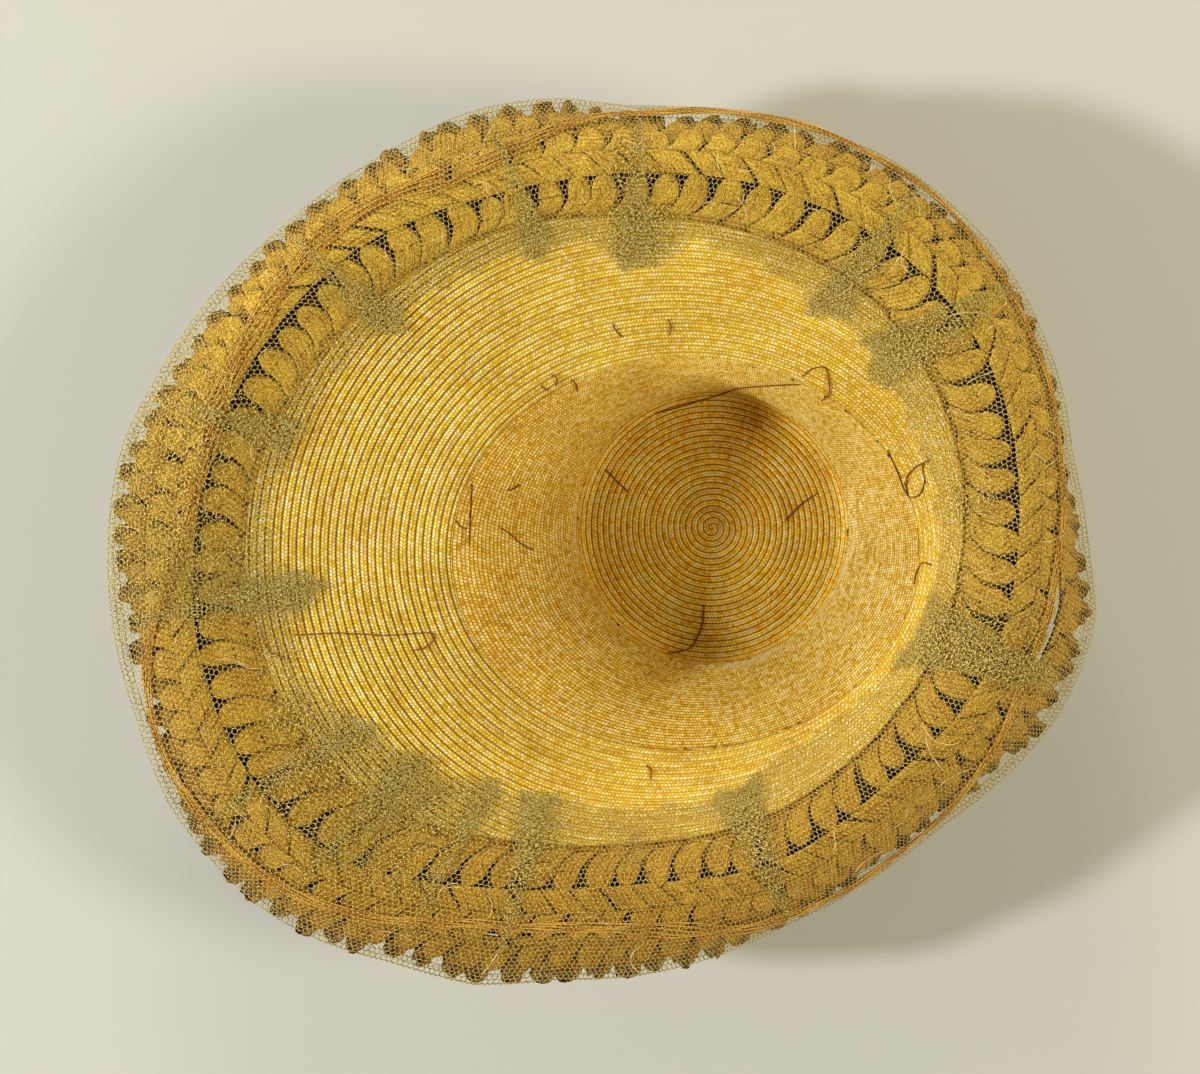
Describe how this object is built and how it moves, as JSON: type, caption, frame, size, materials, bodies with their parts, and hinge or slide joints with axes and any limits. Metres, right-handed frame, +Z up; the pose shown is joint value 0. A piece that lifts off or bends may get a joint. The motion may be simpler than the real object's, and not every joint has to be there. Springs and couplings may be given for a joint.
{
  "type": "straw hat",
  "caption": "Straw hat lying on its flat crown tip: open crown, wide oval brim of fine braid, lobed straw plaits at the edge, a covered wire and a gathered net over the underside.",
  "frame": {"origin": "middle of the crown tip's outer face, on the surface that the hat lies on", "axes": "+Z up through the open head hollow, +X towards the narrow side of the brim, -X towards the wide side"},
  "size_m": [0.4125, 0.3737, 0.1109],
  "materials": {
    "crown_braid": "fine sewn straw braid, satin",
    "brim_braid": "fine sewn straw braid, glossy flecks",
    "coarse_plait": "wide flat straw plait, matte fibres",
    "picot_plait": "crinkled straw plait with picot edge, matte",
    "covered_wire": "wire wound with orange-brown thread",
    "net_thread": "grey-olive silk net"
  },
  "bodies": {
    "root": {"crown": "crown_braid", "brim": "brim_braid", "plait_inner": "coarse_plait", "plait_middle": "coarse_plait", "plait_outer": "picot_plait", "brim_wire": "covered_wire", "net": "net_thread"}
  },
  "joints": []
}
